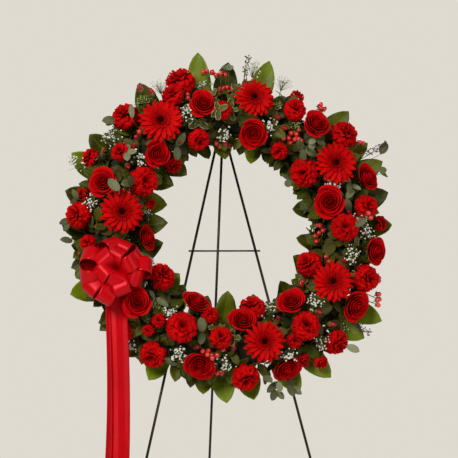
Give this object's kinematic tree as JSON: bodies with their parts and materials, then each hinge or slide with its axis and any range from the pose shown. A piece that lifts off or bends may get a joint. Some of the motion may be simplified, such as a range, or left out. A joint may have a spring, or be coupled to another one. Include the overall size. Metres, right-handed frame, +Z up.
{
  "type": "funeral wreath on easel",
  "caption": "Round wreath of red roses, carnations and gerberas with mixed greens and a satin bow, hung on a folding wire easel.",
  "frame": {"origin": "middle of the footprint's box on the floor", "axes": "+Z up; the wreath's face looks along -Y; +X to the right as seen from the front"},
  "size_m": [0.7358, 0.6264, 1.4914],
  "materials": {
    "rose_petals": "velvety crimson rose petals",
    "gerbera_petals": "matte scarlet ray petals with a near-black eye",
    "carnation_petals": "matte ruffled red petals",
    "salal_leaf": "waxy dark green leaf with pale veins",
    "mixed_leaf": "grey-green eucalyptus and cream-edged pittosporum leaves",
    "gypsophila": "tiny white flowers on fine green stalks",
    "hypericum": "glossy coral-red berries",
    "easel_wire": "dark green enamelled steel wire",
    "bare_wire": "bare florist's wire",
    "backing": "dark green moulded plastic",
    "floral_foam": "wet green floral foam",
    "satin_ribbon": "red satin ribbon"
  },
  "bodies": {
    "easel": {"easel_leg_left": "easel_wire", "easel_leg_right": "easel_wire", "easel_crossbar": "easel_wire", "easel_pin": "easel_wire", "easel_hook": "easel_wire", "hanging_wire": "bare_wire", "backing_ring": "backing", "foam_ring": "floral_foam", "bow": "satin_ribbon", "streamer_left": "satin_ribbon", "streamer_right": "satin_ribbon", "rose_01": "rose_petals", "rose_02": "rose_petals", "rose_03": "rose_petals", "rose_04": "rose_petals", "rose_05": "rose_petals", "rose_06": "rose_petals", "rose_07": "rose_petals", "rose_08": "rose_petals", "rose_09": "rose_petals", "rose_10": "rose_petals", "rose_11": "rose_petals", "rose_12": "rose_petals", "rose_13": "rose_petals", "rose_14": "rose_petals", "rose_15": "rose_petals", "rose_16": "rose_petals", "gerbera_01": "gerbera_petals", "gerbera_02": "gerbera_petals", "gerbera_03": "gerbera_petals", "gerbera_04": "gerbera_petals", "gerbera_05": "gerbera_petals", "gerbera_06": "gerbera_petals", "carnation_spray_1": "carnation_petals", "carnation_spray_2": "carnation_petals", "carnation_spray_3": "carnation_petals", "carnation_spray_4": "carnation_petals", "carnation_spray_5": "carnation_petals", "carnation_spray_6": "carnation_petals", "carnation_spray_7": "carnation_petals", "carnation_spray_8": "carnation_petals", "salal_outer_1": "salal_leaf", "salal_outer_2": "salal_leaf", "salal_outer_3": "salal_leaf", "salal_outer_4": "salal_leaf", "greens_1": "mixed_leaf", "greens_2": "mixed_leaf", "greens_3": "mixed_leaf", "greens_4": "mixed_leaf", "greens_5": "mixed_leaf", "greens_6": "mixed_leaf", "gypsophila_1": "gypsophila", "gypsophila_2": "gypsophila", "gypsophila_3": "gypsophila", "gypsophila_4": "gypsophila", "hypericum_1": "hypericum", "hypericum_2": "hypericum", "hypericum_3": "hypericum", "hypericum_4": "hypericum"},
    "rear_leg": {"easel_rear_leg": "easel_wire"}
  },
  "joints": [
    {"name": "rear_leg_fold", "type": "hinge", "parent": "easel", "child": "rear_leg", "pos_m": [0.004, -0.08728, 1.29975], "axis": [1, 0, 0], "range_deg": [-25, 0]}
  ]
}
